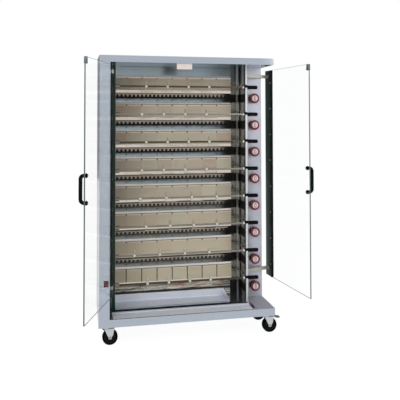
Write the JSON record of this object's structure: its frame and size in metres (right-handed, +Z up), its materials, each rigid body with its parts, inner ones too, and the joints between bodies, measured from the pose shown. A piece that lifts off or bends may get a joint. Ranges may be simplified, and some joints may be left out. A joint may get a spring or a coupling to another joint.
{
  "type": "gas poultry rotisserie",
  "caption": "Upright gas rotisserie with driven spits before ceramic burners, drip tray, gas knobs, castors and two swinging glass doors.",
  "frame": {"origin": "on the floor under the middle of the housing", "axes": "+Z up, +Y from the front to the back, +X to the right seen from the front"},
  "size_m": [1.499, 0.785, 1.875],
  "materials": {
    "stainless_panel": "satin brushed stainless sheet",
    "stainless_inner": "stainless sheet, dulled by heat",
    "liner_sheet": "heat-tinted blue-grey sheet",
    "burner_steel": "stainless burner box",
    "plaque_ceramic": "unglazed porous plaque",
    "spit_steel": "polished stainless bar",
    "drive_steel": "plain machined steel",
    "grip_plastic": "black heat-resistant plastic",
    "knob_plastic": "black plastic with a dark red ring",
    "motor_paint": "dark grey paint",
    "gas_brass": "plain brass and steel pipe",
    "rocker_red": "red translucent rocker",
    "door_glass": "clear toughened glass, green edges",
    "door_black": "black hinge bar with steel arms",
    "castor_steel": "zinc-plated pressed steel",
    "castor_wheel": "cast-iron core with a black rubber tyre"
  },
  "bodies": {
    "housing": {"base_pan": "stainless_panel", "header_channel": "stainless_panel", "left_column": "stainless_panel", "right_column": "stainless_panel", "left_wall": "stainless_inner", "right_wall": "stainless_inner", "back_panel": "liner_sheet", "burner_boxes": "burner_steel", "burner_shields": "liner_sheet", "ceramic_plaques": "plaque_ceramic", "drive_motor": "motor_paint", "gas_rail": "gas_brass"},
    "tray": {"drip_tray": "stainless_inner"},
    "switch_rocker": {"rocker_switch": "rocker_red"},
    "left_door": {"left_door_glass": "door_glass", "left_door_frame": "door_black", "left_door_pull": "grip_plastic"},
    "right_door": {"right_door_glass": "door_glass", "right_door_frame": "door_black", "right_door_pull": "grip_plastic"},
    "spit_unit_1": {"spit_1": "spit_steel", "spit_grip_1": "grip_plastic", "drive_socket_1": "drive_steel"},
    "spit_unit_2": {"spit_2": "spit_steel", "spit_grip_2": "grip_plastic", "drive_socket_2": "drive_steel"},
    "spit_unit_3": {"spit_3": "spit_steel", "spit_grip_3": "grip_plastic", "drive_socket_3": "drive_steel"},
    "spit_unit_4": {"spit_4": "spit_steel", "spit_grip_4": "grip_plastic", "drive_socket_4": "drive_steel"},
    "spit_unit_5": {"spit_5": "spit_steel", "spit_grip_5": "grip_plastic", "drive_socket_5": "drive_steel"},
    "spit_unit_6": {"spit_6": "spit_steel", "spit_grip_6": "grip_plastic", "drive_socket_6": "drive_steel"},
    "spit_unit_7": {"spit_7": "spit_steel", "spit_grip_7": "grip_plastic", "drive_socket_7": "drive_steel"},
    "spit_unit_8": {"spit_8": "spit_steel", "spit_grip_8": "grip_plastic", "drive_socket_8": "drive_steel"},
    "knob_1": {"gas_knob_1": "knob_plastic"},
    "knob_2": {"gas_knob_2": "knob_plastic"},
    "knob_3": {"gas_knob_3": "knob_plastic"},
    "knob_4": {"gas_knob_4": "knob_plastic"},
    "knob_5": {"gas_knob_5": "knob_plastic"},
    "knob_6": {"gas_knob_6": "knob_plastic"},
    "knob_7": {"gas_knob_7": "knob_plastic"},
    "knob_8": {"gas_knob_8": "knob_plastic"},
    "castor_front_left": {"castor_fork_front_left": "castor_steel"},
    "wheel_front_left": {"castor_wheel_front_left": "castor_wheel"},
    "castor_front_right": {"castor_fork_front_right": "castor_steel"},
    "wheel_front_right": {"castor_wheel_front_right": "castor_wheel"},
    "castor_rear_left": {"castor_fork_rear_left": "castor_steel"},
    "wheel_rear_left": {"castor_wheel_rear_left": "castor_wheel"},
    "castor_rear_right": {"castor_fork_rear_right": "castor_steel"},
    "wheel_rear_right": {"castor_wheel_rear_right": "castor_wheel"}
  },
  "joints": [
    {"name": "left_door_swing", "type": "hinge", "parent": "housing", "child": "left_door", "pos_m": [-0.512, -0.1555, 1.0665], "axis": [0, 0, 1], "range_deg": [0, 112.7]},
    {"name": "right_door_swing", "type": "hinge", "parent": "housing", "child": "right_door", "pos_m": [0.468, 0.034, 1.0665], "axis": [0, 0, 1], "range_deg": [-98.3, 0]},
    {"name": "tray_slide", "type": "slide", "parent": "housing", "child": "tray", "axis": [0, -1, 0], "range_m": [0, 0.3]},
    {"name": "switch_rock", "type": "hinge", "parent": "housing", "child": "switch_rocker", "pos_m": [-0.55, -0.155, 0.405], "axis": [1, 0, 0], "range_deg": [-10, 0]},
    {"name": "spit_turn_1", "type": "hinge", "parent": "housing", "child": "spit_unit_1", "pos_m": [0, 0.012, 1.6845], "axis": [1, 0, 0], "continuous": true},
    {"name": "spit_turn_2", "type": "hinge", "parent": "housing", "child": "spit_unit_2", "pos_m": [0, 0.012, 1.492], "axis": [1, 0, 0], "continuous": true},
    {"name": "spit_turn_3", "type": "hinge", "parent": "housing", "child": "spit_unit_3", "pos_m": [0, 0.012, 1.2995], "axis": [1, 0, 0], "continuous": true},
    {"name": "spit_turn_4", "type": "hinge", "parent": "housing", "child": "spit_unit_4", "pos_m": [0, 0.012, 1.107], "axis": [1, 0, 0], "continuous": true},
    {"name": "spit_turn_5", "type": "hinge", "parent": "housing", "child": "spit_unit_5", "pos_m": [0, 0.012, 0.9145], "axis": [1, 0, 0], "continuous": true},
    {"name": "spit_turn_6", "type": "hinge", "parent": "housing", "child": "spit_unit_6", "pos_m": [0, 0.012, 0.722], "axis": [1, 0, 0], "continuous": true},
    {"name": "spit_turn_7", "type": "hinge", "parent": "housing", "child": "spit_unit_7", "pos_m": [0, 0.012, 0.5295], "axis": [1, 0, 0], "continuous": true},
    {"name": "spit_turn_8", "type": "hinge", "parent": "housing", "child": "spit_unit_8", "pos_m": [0, 0.012, 0.337], "axis": [1, 0, 0], "continuous": true},
    {"name": "knob_turn_1", "type": "hinge", "parent": "housing", "child": "knob_1", "pos_m": [0.533, 0.087, 1.6075], "axis": [0, -1, 0], "range_deg": [0, 210]},
    {"name": "knob_turn_2", "type": "hinge", "parent": "housing", "child": "knob_2", "pos_m": [0.533, 0.087, 1.415], "axis": [0, -1, 0], "range_deg": [0, 210]},
    {"name": "knob_turn_3", "type": "hinge", "parent": "housing", "child": "knob_3", "pos_m": [0.533, 0.087, 1.2225], "axis": [0, -1, 0], "range_deg": [0, 210]},
    {"name": "knob_turn_4", "type": "hinge", "parent": "housing", "child": "knob_4", "pos_m": [0.533, 0.087, 1.03], "axis": [0, -1, 0], "range_deg": [0, 210]},
    {"name": "knob_turn_5", "type": "hinge", "parent": "housing", "child": "knob_5", "pos_m": [0.533, 0.087, 0.8375], "axis": [0, -1, 0], "range_deg": [0, 210]},
    {"name": "knob_turn_6", "type": "hinge", "parent": "housing", "child": "knob_6", "pos_m": [0.533, 0.087, 0.645], "axis": [0, -1, 0], "range_deg": [0, 210]},
    {"name": "knob_turn_7", "type": "hinge", "parent": "housing", "child": "knob_7", "pos_m": [0.533, 0.087, 0.4525], "axis": [0, -1, 0], "range_deg": [0, 210]},
    {"name": "knob_turn_8", "type": "hinge", "parent": "housing", "child": "knob_8", "pos_m": [0.533, 0.087, 0.26], "axis": [0, -1, 0], "range_deg": [0, 210]},
    {"name": "castor_swivel_front_left", "type": "hinge", "parent": "housing", "child": "castor_front_left", "pos_m": [-0.545, -0.108, 0.115], "axis": [0, 0, 1], "continuous": true},
    {"name": "wheel_roll_front_left", "type": "hinge", "parent": "castor_front_left", "child": "wheel_front_left", "pos_m": [-0.518, -0.108, 0.05], "axis": [0, 1, 0], "continuous": true},
    {"name": "castor_swivel_front_right", "type": "hinge", "parent": "housing", "child": "castor_front_right", "pos_m": [0.545, -0.108, 0.115], "axis": [0, 0, 1], "continuous": true},
    {"name": "wheel_roll_front_right", "type": "hinge", "parent": "castor_front_right", "child": "wheel_front_right", "pos_m": [0.572, -0.108, 0.05], "axis": [0, 1, 0], "continuous": true},
    {"name": "castor_swivel_rear_left", "type": "hinge", "parent": "housing", "child": "castor_rear_left", "pos_m": [-0.545, 0.108, 0.115], "axis": [0, 0, 1], "continuous": true},
    {"name": "wheel_roll_rear_left", "type": "hinge", "parent": "castor_rear_left", "child": "wheel_rear_left", "pos_m": [-0.518, 0.108, 0.05], "axis": [0, 1, 0], "continuous": true},
    {"name": "castor_swivel_rear_right", "type": "hinge", "parent": "housing", "child": "castor_rear_right", "pos_m": [0.545, 0.108, 0.115], "axis": [0, 0, 1], "continuous": true},
    {"name": "wheel_roll_rear_right", "type": "hinge", "parent": "castor_rear_right", "child": "wheel_rear_right", "pos_m": [0.572, 0.108, 0.05], "axis": [0, 1, 0], "continuous": true}
  ],
  "couplings": [
    {"joint": "spit_turn_1", "follows": "spit_turn_8", "ratio": 1},
    {"joint": "spit_turn_2", "follows": "spit_turn_8", "ratio": 1},
    {"joint": "spit_turn_3", "follows": "spit_turn_8", "ratio": 1},
    {"joint": "spit_turn_4", "follows": "spit_turn_8", "ratio": 1},
    {"joint": "spit_turn_5", "follows": "spit_turn_8", "ratio": 1},
    {"joint": "spit_turn_6", "follows": "spit_turn_8", "ratio": 1},
    {"joint": "spit_turn_7", "follows": "spit_turn_8", "ratio": 1}
  ]
}
